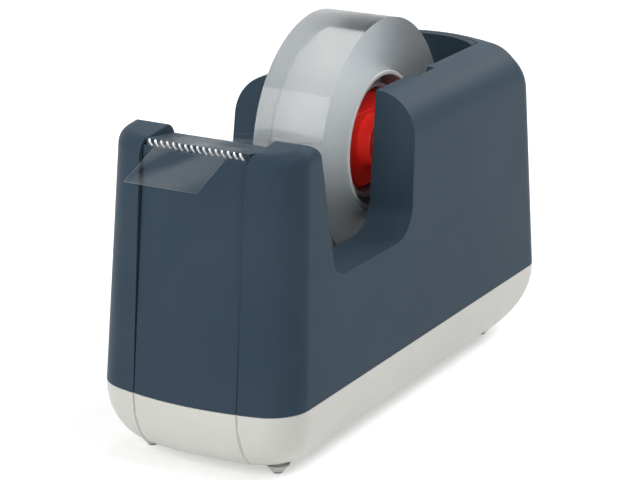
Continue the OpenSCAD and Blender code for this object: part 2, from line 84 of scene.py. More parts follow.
# the body's main lines, in millimetres, as in the part's source
body = {
    "front": -67.0, "rear": 74.0, "half": 26.8, "seam": 14.0, "parting": 17.9, "top": 78.9,
    "frontLean": 4.8, "stripLean": 6.1, "rearLean": 5.0, "draft": 1.8, "frontBow": 75.0, "rearBow": 75.0,
    "corner": 10.4, "rearCorner": 8.0, "leastCorner": 0.4, "backRise": 19.4, "backIn": 6.62, "backRim": 21.1,
    "roundSlack": 0.2,
}


def sag(r, x):
    return r - math.sqrt(r * r - x * x)


def slope(angle):
    return math.tan(math.radians(angle))


def frontAt(z):
    return body["front"] + (z - body["parting"]) * slope(body["frontLean"])


def stripAt(z):
    return body["front"] + (z - body["parting"]) * slope(body["stripLean"])


def rearAt(z):
    return body["rear"] - (z - body["parting"]) * slope(body["rearLean"])


def narrowAt(z):  # what the draft takes off each side
    return (z - body["parting"]) * slope(body["draft"])


def bow(r, x):  # how far a bowed face falls back at x, beside the corner's own round
    c = body["corner"]
    edge = body["half"] - c
    x = abs(x)
    if x > edge * r / (r - c):
        return r - math.sqrt((r - c) ** 2 - edge ** 2) - c
    return sag(r, x) - (sag(c, x - edge) if x > edge else 0)


def cornerPlace(side, r, c, turn):  # a point of the round between a bowed end and a side: x, and y behind the crown
    deep = math.sqrt((r - c) ** 2 - (side - c) ** 2)
    angle = math.atan2(deep, side - c) * (1 - turn)
    return side - c + c * math.cos(angle), r - deep - c * math.sin(angle)


def backAt(angle):  # the rear's crown at this turn of its top round: y, z and the bow there
    draw = 1 - math.cos(angle)
    z = body["top"] - body["backRise"] * (1 - math.sin(angle))
    return rearAt(z) - body["backIn"] * draw, z, body["rearBow"] * (1 - draw) + body["backRim"] * draw


def shapeBack(v):  # moves a point of a plain rounded block onto the real rear, and says if it did
    c, seam, half, top = body["corner"], body["seam"], body["half"], body["top"]
    least = body["leastCorner"]
    x, y, z = v.co
    over, deep, up = max(abs(x) - half + c, 0), c - (rearAt(z) - y), max(z - top + c, 0)
    if deep < -near:
        return False
    reach = max(math.sqrt(over ** 2 + deep ** 2 + up ** 2), weld)
    angle = math.asin(min(1, up / reach))
    crown, height, r = backAt(angle)
    sideZ = top - c * (1 - math.sin(angle))
    if z < top - c - body["roundSlack"]:  # below the top round
        crown, height, r, sideZ = rearAt(z), z, body["rearBow"], z
    side = half - narrowAt(sideZ) - c * (1 - math.cos(angle))
    corner = max(min(body["rearCorner"], side - seam - least), least)
    turn = math.atan2(over, max(deep, 0)) / (math.pi / 2) if over > 0 else 0
    if turn > 0:
        across, fall = cornerPlace(side, r, corner, turn)
    else:
        across = abs(x)
        if across > seam:
            room = cornerPlace(side, r, corner, 0)[0] - seam
            across = seam + (across - seam) * room / (half - c - seam)
        fall = sag(r, across)
    blend = turn * turn * (3 - 2 * turn)  # eases in and out
    depth = (c - reach) / reach
    v.co = (math.copysign(across - depth * over, x), crown - fall - depth * deep,
            height + (sideZ - height) * blend - depth * up)
    return True


def edgesWhere(bm, test, angle=None):
    bm.normal_update()
    return [e for e in bm.edges if test(*[v.co for v in e.verts])
            and (angle is None or (len(e.link_faces) == 2 and e.calc_face_angle(0) > math.radians(angle)))]


def roundEdges(bm, edges, size, segments, clamped=True):
    bmesh.ops.bevel(bm, geom=edges, offset=size, offset_type="OFFSET", affect="EDGES", segments=segments,
                    profile=0.5, material=-1, clamp_overlap=clamped)


def roundCorner(bm, place, size, segments):  # rounds one corner of a flat outline
    corner = min(bm.verts, key=lambda v: (v.co - Vector(place)).length)
    bmesh.ops.bevel(bm, geom=[corner], offset=size, offset_type="OFFSET", affect="VERTICES", segments=segments,
                    profile=0.5, material=-1, clamp_overlap=True)


def newVerts(made):
    return [g for g in made["geom"] if isinstance(g, bmesh.types.BMVert)]


def allOf(bm):
    return list(bm.verts) + list(bm.edges) + list(bm.faces)


def rotateAbout(bm, verts, degrees, axis, about=(0, 0, 0)):
    bmesh.ops.rotate(bm, verts=verts, cent=about, matrix=Matrix.Rotation(math.radians(degrees), 3, axis))


def fullSpin(bm, geom, about, axis, steps):
    bmesh.ops.spin(bm, geom=geom, cent=about, axis=axis, angle=2 * math.pi, steps=steps, use_merge=True)
    bmesh.ops.remove_doubles(bm, verts=bm.verts, dist=weld)
    bmesh.ops.recalc_face_normals(bm, faces=bm.faces)


def extrudeAcross(bm, fromX, toX):  # a flat outline in y and z becomes a solid
    for v in bm.verts:
        v.co.x = fromX
    bmesh.ops.translate(bm, verts=newVerts(bmesh.ops.extrude_face_region(bm, geom=list(bm.faces))),
                        vec=(toX - fromX, 0, 0))
    closeHoles(bm)


def closeHoles(bm):
    openEdges = [e for e in bm.edges if len(e.link_faces) == 1]
    if openEdges:
        bmesh.ops.holes_fill(bm, edges=openEdges, sides=0)
    bmesh.ops.recalc_face_normals(bm, faces=bm.faces)


def outline(points):
    bm = bmesh.new()
    bm.faces.new([bm.verts.new((0, y, z)) for y, z in points])
    return bm


def lathe(points, steps):  # a ring about the reel's axis from its (x, radius) outline
    bm = bmesh.new()
    y, z = reel["y"], reel["z"]
    ring = [bm.verts.new((x, y - r, z)) for x, r in points]
    edges = [bm.edges.new((ring[i], ring[(i + 1) % len(ring)])) for i in range(len(ring))]
    fullSpin(bm, ring + edges, (0, y, z), (1, 0, 0), steps)
    return bm


def makeObject(bm, name):
    bmesh.ops.scale(bm, vec=(mm, mm, mm), verts=bm.verts)
    mesh = bpy.data.meshes.new(name)
    bm.to_mesh(mesh)
    bm.free()
    piece = bpy.data.objects.new(name, mesh)
    scene.collection.objects.link(piece)
    return piece


def carve(piece, cutter):  # takes the cutter's shape out of the piece for good
    cut = piece.modifiers.new("carve", "BOOLEAN")
    cut.object = cutter
    cut.operation = "DIFFERENCE"
    cut.solver = "EXACT"
    depsgraph = bpy.context.evaluated_depsgraph_get()
    carved = bpy.data.meshes.new_from_object(piece.evaluated_get(depsgraph))
    carved.name = piece.name
    piece.modifiers.clear()
    spent = [piece.data, cutter.data]
    piece.data = carved
    bpy.data.objects.remove(cutter)
    for mesh in spent:
        bpy.data.meshes.remove(mesh)


# the reel's axis, and the covers' slots for its axle
reel = {"y": 12.0, "z": 62.6, "axle": 4.0, "slotRoom": 0.08, "slotDepth": 2.0, "slotSlant": 32.0, "slotLength": 26.0}
smoothing = {"angle": 32, "weight": 60}


def settle(piece, bodyName, materials, standsFor, smoothAngle=smoothing["angle"], weighted=True):
    mesh = piece.data
    for material in materials:
        mesh.materials.append(material)
    mesh.shade_smooth()
    mesh.set_sharp_from_angle(angle=math.radians(smoothAngle))
    if weighted:
        normals = piece.modifiers.new("evenNormals", "WEIGHTED_NORMAL")
        normals.keep_sharp = True
        normals.weight = smoothing["weight"]
    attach(piece, bodyName)
    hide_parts(*standsFor)


# shared effects
def newGroup(name, inputs, outputs):
    group = bpy.data.node_groups.new(name, "ShaderNodeTree")
    for label, kind, value in inputs:
        socket = group.interface.new_socket(label, in_out="INPUT", socket_type=kind)
        if value is not None:
            socket.default_value = value
    for label, kind in outputs:
        group.interface.new_socket(label, in_out="OUTPUT", socket_type=kind)
    return group, group.nodes.new("NodeGroupInput"), group.nodes.new("NodeGroupOutput")


def addNode(tree, kind, settings=None, values=None):
    node = tree.nodes.new(kind)
    for key, value in (settings or {}).items():
        setattr(node, key, value)
    for key, value in (values or {}).items():
        node.inputs[key].default_value = value
    return node


def blendTones(tree, factor, first, second):
    node = addNode(tree, "ShaderNodeMix", {"data_type": "RGBA"})
    tree.links.new(factor, node.inputs["Factor"])
    node.inputs["A"].default_value = (*first, 1)
    node.inputs["B"].default_value = (*second, 1)
    return node.outputs["Result"]


def scaled(tone, k):
    return tuple(k * part for part in tone)


def makeGrainGroup():  # fine spark-eroded grain and a slow drift of tone
    group, start, end = newGroup(
        "mouldGrain",
        [("Vector", "NodeSocketVector", None), ("Fineness", "NodeSocketFloat", 3000.0)],
        [("Height", "NodeSocketFloat"), ("Drift", "NodeSocketFloat")],
    )
    fine = addNode(group, "ShaderNodeTexNoise", values={"Detail": 3.0, "Roughness": 0.6})
    drift = addNode(group, "ShaderNodeTexNoise", values={"Scale": 55.0, "Detail": 3.0, "Roughness": 0.5})
    spread = addNode(group, "ShaderNodeMapRange", values={"From Min": 0.3, "From Max": 0.7})
    group.links.new(start.outputs["Vector"], fine.inputs["Vector"])
    group.links.new(start.outputs["Fineness"], fine.inputs["Scale"])
    group.links.new(start.outputs["Vector"], drift.inputs["Vector"])
    group.links.new(drift.outputs["Fac"], spread.inputs["Value"])
    group.links.new(fine.outputs["Fac"], end.inputs["Height"])
    group.links.new(spread.outputs["Result"], end.inputs["Drift"])
    return group


def makeBrushGroup():  # lines drawn out along x, as grinding leaves them
    group, start, end = newGroup(
        "grindLines",
        [("Vector", "NodeSocketVector", None), ("Fineness", "NodeSocketFloat", 9000.0)],
        [("Height", "NodeSocketFloat")],
    )
    stretch = addNode(group, "ShaderNodeMapping", values={"Scale": (0.03, 1.0, 1.0)})
    lines = addNode(group, "ShaderNodeTexNoise", values={"Detail": 4.0, "Roughness": 0.65})
    group.links.new(start.outputs["Vector"], stretch.inputs["Vector"])
    group.links.new(stretch.outputs["Vector"], lines.inputs["Vector"])
    group.links.new(start.outputs["Fineness"], lines.inputs["Scale"])
    group.links.new(lines.outputs["Fac"], end.inputs["Height"])
    return group


grainGroup = makeGrainGroup()
brushGroup = makeBrushGroup()


def startMaterial(name):
    material = bpy.data.materials.new(name)
    material.use_nodes = True
    tree = material.node_tree
    return material, tree, tree.nodes["Principled BSDF"], tree.nodes.new("ShaderNodeTexCoord")


moulded = {"smoother": 0.05, "rougher": 0.05, "depth": 0.0001, "specular": 0.5}
ground = {"smoother": 0.06, "rougher": 0.08, "depth": 0.00005, "bump": 0.1}


def texturedShader(tree, shader, texture, toneBy, tones, rough, bump, finish):  # all from one texture
    height = texture.outputs["Height"]
    gloss = addNode(tree, "ShaderNodeMapRange",
                    values={"To Min": rough - finish["smoother"], "To Max": rough + finish["rougher"]})
    relief = addNode(tree, "ShaderNodeBump", values={"Strength": bump, "Distance": finish["depth"]})
    tree.links.new(blendTones(tree, texture.outputs[toneBy], *tones), shader.inputs["Base Color"])
    tree.links.new(height, gloss.inputs["Value"])
    tree.links.new(gloss.outputs["Result"], shader.inputs["Roughness"])
    tree.links.new(height, relief.inputs["Height"])
    tree.links.new(relief.outputs["Normal"], shader.inputs["Normal"])


def plastic(name, dark, light, rough, fineness, bump, specular=moulded["specular"]):
    material, tree, shader, coords = startMaterial(name)
    grain = addNode(tree, "ShaderNodeGroup", {"node_tree": grainGroup}, {"Fineness": fineness})
    tree.links.new(coords.outputs["Object"], grain.inputs["Vector"])
    texturedShader(tree, shader, grain, "Drift", (dark, light), rough, bump, moulded)
    shader.inputs["Specular IOR Level"].default_value = specular
    return material


def steel(name, dark, light, rough, fineness):
    material, tree, shader, coords = startMaterial(name)
    lines = addNode(tree, "ShaderNodeGroup", {"node_tree": brushGroup}, {"Fineness": fineness})
    tree.links.new(coords.outputs["Object"], lines.inputs["Vector"])
    texturedShader(tree, shader, lines, "Height", (dark, light), rough, ground["bump"], ground)
    shader.inputs["Metallic"].default_value = 1.0
    return material


coverPlastic = plastic("coverPlastic", (0.038, 0.064, 0.090), (0.044, 0.071, 0.098),
                       rough=0.44, fineness=2600, bump=0.12, specular=0.06)
wellPlastic = plastic("wellPlastic", (0.030, 0.052, 0.072), (0.035, 0.058, 0.079),
                      rough=0.5, fineness=2600, bump=0.12, specular=0.06)
basePlastic = plastic("basePlastic", (0.70, 0.695, 0.655), (0.75, 0.745, 0.705),
                      rough=0.42, fineness=2400, bump=0.08, specular=0.2)
hubPlastic = plastic("hubPlastic", (0.86, 0.030, 0.020), (0.92, 0.036, 0.024),
                     rough=0.36, fineness=2200, bump=0.05, specular=0.3)
clipPlastic = plastic("clipPlastic", (0.62, 0.60, 0.60), (0.68, 0.66, 0.66),
                      rough=0.4, fineness=2200, bump=0.05)
corePlastic = plastic("corePlastic", (0.78, 0.78, 0.77), (0.83, 0.83, 0.82),
                      rough=0.4, fineness=2200, bump=0.05)
footRubber = plastic("footRubber", (0.56, 0.56, 0.54), (0.64, 0.64, 0.62),
                     rough=0.5, fineness=1800, bump=0.15)
footTread = plastic("footTread", (0.06, 0.06, 0.065), (0.09, 0.09, 0.095),
                    rough=0.6, fineness=1800, bump=0.15)
# the dark steel is the blade plate's own and also paints shade on the left half of each tooth; the light steel paints
# the highlight on each tooth's right side
bladeSteelAndPaintedShade = steel("bladeSteelAndPaintedShade", (0.07, 0.08, 0.09), (0.12, 0.13, 0.145),
                   rough=0.34, fineness=9000)
toothSteelPaintedHighlight = steel("toothSteelPaintedHighlight", (0.50, 0.515, 0.535), (0.62, 0.635, 0.655),
                   rough=0.4, fineness=9000)
axleSteel = steel("axleSteel", (0.45, 0.46, 0.48), (0.62, 0.63, 0.65),
                  rough=0.3, fineness=7000)
print("plastics and steels made")

# side covers, with the pillars' rear top edge 0.6 mm above and 1.1 mm behind the source's, as the photo shows it
coverSides = {
    "pillarY": -46.5, "pillarTop": 78.6, "pillarFall": 6.0, "floor": 45.2, "cutRear": 0.0, "rearTilt": 6.0,
    "frontTilt": 9.3, "rearRound": 8.0, "frontRound": 5.0, "capRound": 3.4, "rimRound": 1.4, "seamRound": 0.42,
    "innerRound": 0.4, "footRound": 0.25, "crease": 30, "capSlack": 0.02, "capReach": 0.1,
    "bowFade": 5.0, "draftRun": 2.0,
}


def pillarRearAt(z):
    return coverSides["pillarY"] + (coverSides["pillarTop"] - z) * slope(coverSides["frontTilt"])


def bendCover(bm):
    seam, floor = body["seam"], coverSides["floor"]
    for v in bm.verts:
        if shapeBack(v):
            continue
        x, y, z = v.co
        ahead = y - frontAt(z)
        room = pillarRearAt(max(z, floor)) - frontAt(z)
        if ahead < room:
            back = bow(body["frontBow"], x) * min(1, (room - ahead) / (room - coverSides["bowFade"]))
            high = max(0, (z - floor) / (coverSides["pillarTop"] - floor))
            v.co.y += back
            v.co.z += back * slope(coverSides["pillarFall"]) * high
        v.co.x -= narrowAt(z) * min(1, (x - seam) / coverSides["draftRun"])


def slotCutter():  # the axle's slot, open at the top
    lean = math.radians(reel["slotSlant"])
    along = Vector((0, math.sin(lean), math.cos(lean)))
    bm = bmesh.new()
    bmesh.ops.create_circle(bm, cap_ends=True, segments=64, radius=reel["axle"] + reel["slotRoom"])
    rotateAbout(bm, bm.verts, 90, "Y")
    bmesh.ops.translate(bm, verts=[v for v in bm.verts if v.co.dot(along) > 0], vec=along * reel["slotLength"])
    bmesh.ops.translate(bm, verts=bm.verts, vec=(0, reel["y"], reel["z"]))
    extrudeAcross(bm, body["seam"] - 1, body["seam"] + reel["slotDepth"])
    return makeObject(bm, "slotCutter")


def makeCovers():
    c = coverSides
    seam, half, top, parting = body["seam"], body["half"], body["top"], body["parting"]
    fall, lean = slope(c["pillarFall"]), slope(body["frontLean"])
    rise = (c["pillarTop"] + (body["front"] - parting * lean - c["pillarY"]) * fall) / (1 - lean * fall)
    rearFoot = c["cutRear"] - (top - c["floor"]) * slope(c["rearTilt"])
    bm = outline([
        (frontAt(parting), parting), (rearAt(parting), parting), (rearAt(top), top), (c["cutRear"], top),
        (rearFoot, c["floor"]), (pillarRearAt(c["floor"]), c["floor"]), (c["pillarY"], c["pillarTop"]),
        (frontAt(rise), rise),
    ])
    frontFoot = pillarRearAt(c["floor"])
    roundCorner(bm, (0, rearFoot, c["floor"]), c["rearRound"] * slope(45 - c["rearTilt"] / 2), segments=12)
    roundCorner(bm, (0, frontFoot, c["floor"]), c["frontRound"] * slope(45 - c["frontTilt"] / 2), segments=10)
    extrudeAcross(bm, seam, half)

    def onFront(p):
        return abs(p.y - frontAt(p.z)) < near

    def onRear(p):
        return abs(p.y - rearAt(p.z)) < near

    def outside(p):
        return p.x > half - near

    def atTop(p):
        return p.z > top - near

    def onCap(p):
        high = c["pillarTop"] + (p.y - c["pillarY"]) * fall
        return abs(p.z - high) < c["capSlack"] and p.y < c["pillarY"] + c["capReach"]

    def atFoot(p):
        return p.z < parting + near

    def inside(p):
        return p.x < seam + near

    def isLong(a, b):
        return (outside(a) and outside(b) and ((onFront(a) and onFront(b)) or (onRear(a) and onRear(b))
                or (atTop(a) and atTop(b)))) or (onRear(a) and onRear(b) and atTop(a) and atTop(b))

    def isCap(a, b):
        return onCap(a) and onCap(b)

    def isRim(a, b):
        return not (atFoot(a) and atFoot(b)) and not (inside(a) and inside(b))

    def isSeam(a, b):
        return inside(a) and inside(b) and ((onFront(a) and onFront(b)) or (onRear(a) and onRear(b)))

    def isFoot(a, b):
        return atFoot(a) and atFoot(b)

    def isInner(a, b):
        return inside(a) and inside(b) and not isFoot(a, b)

    roundEdges(bm, edgesWhere(bm, isLong), body["corner"], segments=14)
    roundEdges(bm, edgesWhere(bm, isCap, c["crease"]), c["capRound"], segments=8, clamped=False)
    for test, size, segments in ((isRim, c["rimRound"], 5), (isSeam, c["seamRound"], 4), (isInner, c["innerRound"], 3),
                                 (isFoot, c["footRound"], 2)):
        roundEdges(bm, edgesWhere(bm, test, c["crease"]), size, segments)
    bendCover(bm)
    bmesh.ops.recalc_face_normals(bm, faces=bm.faces)
    right = makeObject(bm, "rightCoverShell")
    carve(right, slotCutter())
    leftMesh = right.data.copy()
    leftMesh.name = "leftCoverShell"
    leftMesh.transform(Matrix.Scale(-1, 4, (1, 0, 0)))
    leftMesh.flip_normals()
    left = bpy.data.objects.new("leftCoverShell", leftMesh)
    scene.collection.objects.link(left)
    settle(right, "housing", [coverPlastic], ["right_cover"])
    settle(left, "housing", [coverPlastic], ["left_cover"])
    print("covers made:", len(right.data.polygons), "faces each")


makeCovers()

# centre strips
centreStrip = {"half": 13.88, "wall": 2.2, "frontTop": 76.1, "frontThick": 1.8, "edge": 0.25, "seamEdge": 0.3,
               "wellEnd": 40.95, "wellRound": 20.3, "rearStart": 40, "crease": 50, "frontCuts": range(-11, 12, 2),
               "rearCuts": range(-13, 14, 2)}


def bisectAt(bm, places):
    for x in places:
        bmesh.ops.bisect_plane(bm, geom=allOf(bm), plane_co=(x, 0, 0), plane_no=(1, 0, 0))


def makeFrontStrip():
    s = centreStrip
    low, high = body["parting"], s["frontTop"]
    bm = outline([(0, low), (s["frontThick"], low), (s["frontThick"], high), (0, high)])
    extrudeAcross(bm, -s["half"], s["half"])

    def isUpright(a, b):
        return max(a.y, b.y) < near and abs(a.z - b.z) > 1

    def isLevel(a, b):
        return max(a.y, b.y) < s["seamEdge"] + near and abs(a.z - b.z) < near

    roundEdges(bm, edgesWhere(bm, isUpright), s["seamEdge"], segments=4)
    roundEdges(bm, edgesWhere(bm, isLevel, s["crease"]), s["edge"], segments=2)
    bisectAt(bm, s["frontCuts"])
    for v in bm.verts:
        if v.co.y < s["frontThick"] - near:
            v.co.y += sag(body["frontBow"], v.co.x)
        v.co.y += stripAt(v.co.z)
    strip = makeObject(bm, "frontStrip")
    settle(strip, "housing", [coverPlastic], ["front_panel"])


def makeRearStrip():
    s = centreStrip
    low, top, wall, start = body["parting"], body["top"], s["wall"], s["rearStart"]
    bm = outline([(start, top), (start, top - wall), (rearAt(top) - wall, top - wall), (rearAt(low) - wall, low),
                  (rearAt(low), low), (rearAt(top), top)])
    roundCorner(bm, (0, rearAt(top), top), body["corner"], segments=14)
    roundCorner(bm, (0, rearAt(top) - wall, top - wall), body["corner"] - wall, segments=14)
    extrudeAcross(bm, -s["half"], s["half"])
    bisectAt(bm, s["rearCuts"])
    for v in bm.verts:
        shapeBack(v)
    strip = makeObject(bm, "rearStrip")
    ring = bmesh.new()
    bmesh.ops.create_cone(ring, cap_ends=True, segments=128, radius1=s["wellRound"], radius2=s["wellRound"],
                          depth=60)
    bmesh.ops.translate(ring, verts=ring.verts, vec=(0, s["wellEnd"], top))
    carve(strip, makeObject(ring, "wellEndCutter"))
    soft = strip.modifiers.new("softEdge", "BEVEL")
    soft.width = s["edge"] * mm
    soft.segments = 2
    soft.limit_method = "ANGLE"
    soft.angle_limit = math.radians(s["crease"])
    settle(strip, "housing", [coverPlastic], ["rear_panel"])


makeFrontStrip()
makeRearStrip()
print("centre strips made")

# base
baseShell = {"low": 2.3, "in": 10.3, "sideShare": 0.8, "rise": 14.8, "frontCorner": 10.5, "rearCorner": 8.0,
             "rearWiden": 1.5, "cornerShare": 0.8, "edge": 0.3, "edgeMid": 0.3, "faceSteps": 8, "cornerSteps": 14,
             "rows": 14, "grooveHalf": 0.35, "grooveDepth": 0.5, "screwX": 17.9, "screwYs": (-39.0, 46.0),
             "screwSeat": 6.2, "blockYs": (-26.5, 33.5), "blockSeat": 4.0, "bore": 2.8}


def basePlace(end, side, step, draw):  # a step of 0 is the middle of an end, 1 its corner's start, 2 the side
    b = baseShell
    half = body["half"] - draw * b["sideShare"]
    r = (body["frontBow"] if end < 0 else body["rearBow"]) - draw
    rearCorner = min(b["rearCorner"] + b["rearWiden"] * draw, b["cornerShare"] * half)
    corner = b["frontCorner"] if end < 0 else rearCorner
    if step < 1:
        across = step * cornerPlace(half, r, corner, 0)[0]
        fall = sag(r, across)
    else:
        across, fall = cornerPlace(half, r, corner, step - 1)
    crown = body["front"] if end < 0 else body["rear"]
    return side * across, crown - end * (draw + fall)


def makeBase():
    b = baseShell
    low, top = b["low"], body["parting"]
    steps = [i / b["faceSteps"] for i in range(b["faceSteps"])]
    steps += [1 + i / b["cornerSteps"] for i in range(b["cornerSteps"] + 1)]
    walk = [(-1, 1, s) for s in steps] + [(1, 1, s) for s in reversed(steps)]
    walk += [(1, -1, s) for s in steps[1:]] + [(-1, -1, s) for s in reversed(steps[1:])]
    edge, mid = b["edge"], b["edge"] * b["edgeMid"]
    rows = [(top, edge), (top - mid, mid), (top - edge, 0)]
    for i in range(b["rows"] + 1):
        turn = math.pi / 2 * i / b["rows"]
        rows.append((low + b["rise"] * (1 - math.sin(turn)), b["in"] * (1 - math.cos(turn))))
    bm = bmesh.new()
    ring = bmesh.ops.create_circle(bm, cap_ends=True, segments=len(walk), radius=1)["verts"]
    for z, draw in rows:
        for v, (end, side, step) in zip(ring, walk):
            v.co = (*basePlace(end, side, step, draw), z)
        if z > low + weld:
            mark = {v.co.to_tuple(4): i for i, v in enumerate(ring)}
            edges = [e for e in bm.edges if e.verts[0] in set(ring) and e.verts[1] in set(ring)]
            grown = newVerts(bmesh.ops.extrude_edge_only(bm, edges=edges))
            ring = sorted(grown, key=lambda v: mark[v.co.to_tuple(4)])
    closeHoles(bm)
    seam, gap = body["seam"], b["grooveHalf"]
    bisectAt(bm, [side * (seam + d) for side in (-1, 1) for d in (-gap, 0, gap)])
    bm.normal_update()
    for v in bm.verts:
        if abs(abs(v.co.x) - seam) < near and v.co.z < top - near:
            inward = -v.normal
            inward.x = 0
            v.co += inward.normalized() * b["grooveDepth"]
    base = makeObject(bm, "baseShell")
    bores = bmesh.new()
    spots = [(x, y, b["screwSeat"]) for x in (-b["screwX"], b["screwX"]) for y in b["screwYs"]]
    spots += [(0, y, b["blockSeat"]) for y in b["blockYs"]]
    for x, y, seat in spots:
        made = bmesh.ops.create_cone(bores, cap_ends=True, segments=40, radius1=b["bore"], radius2=b["bore"],
                                     depth=seat)
        bmesh.ops.translate(bores, verts=made["verts"], vec=(x, y, seat / 2))
    carve(base, makeObject(bores, "screwBores"))
    settle(base, "housing", [basePlastic], ["base_tray"])
    print("base made:", len(base.data.polygons), "faces")


makeBase()

# feet
footShape = {"x": 17.3, "ys": (-53.1, 54.0), "tread": 0.35,
             "outline": [(0, 0.0), (0.95, 0.0), (1.15, 0.12), (1.3, 0.4), (2.85, 2.1), (3.0, 2.3), (1.6, 2.3),
                         (1.6, 4.4), (0, 4.4)]}


def makeFeet():
    f = footShape
    for side, label in ((-1, "left"), (1, "right")):
        for y, end in zip(f["ys"], ("front", "rear")):
            bm = bmesh.new()
            line = [bm.verts.new((r, 0, z)) for r, z in f["outline"]]
            edges = [bm.edges.new((line[i], line[i + 1])) for i in range(len(line) - 1)]
            fullSpin(bm, line + edges, (0, 0, 0), (0, 0, 1), steps=40)
            for face in bm.faces:
                face.material_index = 1 if face.calc_center_median().z < f["tread"] else 0
            bmesh.ops.translate(bm, verts=bm.verts, vec=(side * f["x"], y, 0))
            foot = makeObject(bm, "foot" + end.capitalize() + label.capitalize())
            settle(foot, "housing", [footRubber, footTread], ["foot_%s_%s" % (end, label)])
    print("feet made")


makeFeet()

# cutter and the ledge behind it
cutter = {"tipY": -59.03, "tipZ": 77.5, "teeth": 16, "pitch": 1.6, "tooth": 1.4, "hold": 9.0, "thick": 0.7,
          "lean": 6.1, "highlightStroke": ((0.1, 0), (0.07, -0.26), (0.67, -1), (1, -1)), "brightFrom": 0.2,
          "crease": 20}
ledge = {"half": 13.7, "frontY": -58.33, "frontZ": 77.4, "rearZ": 75.9, "thick": 2.4, "wall": 2.2,
         "flangeLow": 69.5, "rearRound": 1.2}


def makeCutter():
    c = cutter
    bm = bmesh.new()
    p, t = c["pitch"], c["tooth"]
    foot = -t - c["hold"]
    highlightStroke = [bm.verts.new((x * p, 0, z * t)) for x, z in c["highlightStroke"]]
    bm.faces.new(highlightStroke)
    plate = [bm.verts.new((x, 0, z)) for x, z in ((0, -t), (0, foot), (p, foot))]
    bm.faces.new(plate + [highlightStroke[3], highlightStroke[2], highlightStroke[1]])
    first = allOf(bm)
    for i in range(1, c["teeth"]):
        bmesh.ops.translate(bm, verts=newVerts(bmesh.ops.duplicate(bm, geom=first)), vec=(i * p, 0, 0))
    bmesh.ops.remove_doubles(bm, verts=bm.verts, dist=weld)
    grown = newVerts(bmesh.ops.extrude_face_region(bm, geom=list(bm.faces)))
    bmesh.ops.translate(bm, verts=grown, vec=(0, c["thick"], 0))
    closeHoles(bm)
    bm.normal_update()
    for face in bm.faces:  # on the flat sheet, the stroke right of each ridge and the faces turned right take the light steel, a painted highlight; the rest of each tooth keeps the dark steel, painted shade
        upright = abs(face.normal.y) > mostly
        bright = face.calc_center_median().z > -t if upright else face.normal.x > c["brightFrom"]
        face.material_index = 1 if bright else 0
    bmesh.ops.translate(bm, verts=bm.verts, vec=(-c["teeth"] * p / 2, 0, 0))
    rotateAbout(bm, bm.verts, -c["lean"], "X")
    bmesh.ops.translate(bm, verts=bm.verts, vec=(0, c["tipY"], c["tipZ"]))
    blade = makeObject(bm, "toothedBlade")
    settle(blade, "housing", [bladeSteelAndPaintedShade, toothSteelPaintedHighlight], ["cutter_blade"], c["crease"], False)


def makeLedge():
    s = ledge
    frontY, low, rearZ = s["frontY"], s["flangeLow"], s["rearZ"]
    under = rearZ - s["thick"]
    flangeY = frontY - (s["frontZ"] - low) * slope(cutter["lean"])
    bm = outline([
        (frontY, s["frontZ"]), (pillarRearAt(rearZ), rearZ), (pillarRearAt(under), under), (frontY + s["wall"], under),
        (flangeY + s["wall"], low), (flangeY, low),
    ])
    roundCorner(bm, (0, pillarRearAt(rearZ), rearZ), s["rearRound"], segments=6)
    extrudeAcross(bm, -s["half"], s["half"])
    shelf = makeObject(bm, "tapeLedge")
    settle(shelf, "housing", [wellPlastic], ["tape_platform"])


makeCutter()
makeLedge()
print("cutter and ledge made")

# reel: hub, split ring, core, wound tape
hubShape = {"bore": 4.08, "boss": 6.7, "bossHalf": 9.5, "face": 11.9, "faceHalf": 5.4, "sleeve": 13.25,
            "sleeveHalf": 3.4, "edge": 0.35, "bandHalf": 7.5, "bandReach": 11.6, "bandRise": 0.5, "bandSunk": 0.3,
            "bandEdge": 0.2, "steps": 96}


def mirrored(points):  # the same outline on the other side of the middle plane
    return points + [(-x, r) for x, r in reversed(points)]


def ringOutline(inner, outer, half, e):
    return mirrored([(half - e, inner), (half, inner + e), (half, outer - e), (half - e, outer)])


def makeHub():
    h = hubShape
    e = h["edge"]
    bm = lathe(mirrored([
        (h["bossHalf"] - e, h["bore"]), (h["bossHalf"], h["bore"] + e), (h["bossHalf"], h["boss"] - 2 * e),
        (h["bossHalf"] - e / 2, h["boss"] - e / 2), (h["bossHalf"] - 2 * e, h["boss"]), (h["faceHalf"] + e, h["boss"]),
        (h["faceHalf"], h["boss"] + e), (h["faceHalf"], h["face"] - e), (h["faceHalf"] - e, h["face"]),
        (h["sleeveHalf"], h["face"]), (h["sleeveHalf"], h["sleeve"] - e), (h["sleeveHalf"] - e, h["sleeve"]),
    ]), h["steps"])
    for side in (-1, 1):  # the raised band across each face
        band = bmesh.new()
        bmesh.ops.create_circle(band, cap_ends=True, segments=h["steps"], radius=h["bandReach"])
        rotateAbout(band, band.verts, 90, "Y")
        for way in (-1, 1):
            bmesh.ops.bisect_plane(band, geom=allOf(band), plane_co=(0, 0, way * h["bandHalf"]), plane_no=(0, 0, way),
                                   clear_outer=True)
        extrudeAcross(band, side * (h["faceHalf"] - h["bandSunk"]), side * (h["faceHalf"] + h["bandRise"]))
        raised = edgesWhere(band, lambda p, q: min(abs(p.x), abs(q.x)) > h["faceHalf"])
        roundEdges(band, raised, h["bandEdge"], segments=2)
        bmesh.ops.translate(band, verts=band.verts, vec=(0, reel["y"], reel["z"]))
        spare = bpy.data.meshes.new("hubBand")
        band.to_mesh(spare)
        band.free()
        bm.from_mesh(spare)
        bpy.data.meshes.remove(spare)
    hub = makeObject(bm, "redHub")
    settle(hub, "reel", [hubPlastic], ["reel_hub"])


ringShape = {"inner": 13.3, "outer": 14.3, "half": 7.0, "edge": 0.25, "openAt": 42.0, "opening": 24.0, "ribs": 5,
             "ribWidth": 2.4, "ribOuter": 16.47, "ribSunk": 0.3, "ribRoom": 0.05, "ribHalf": 6.5}


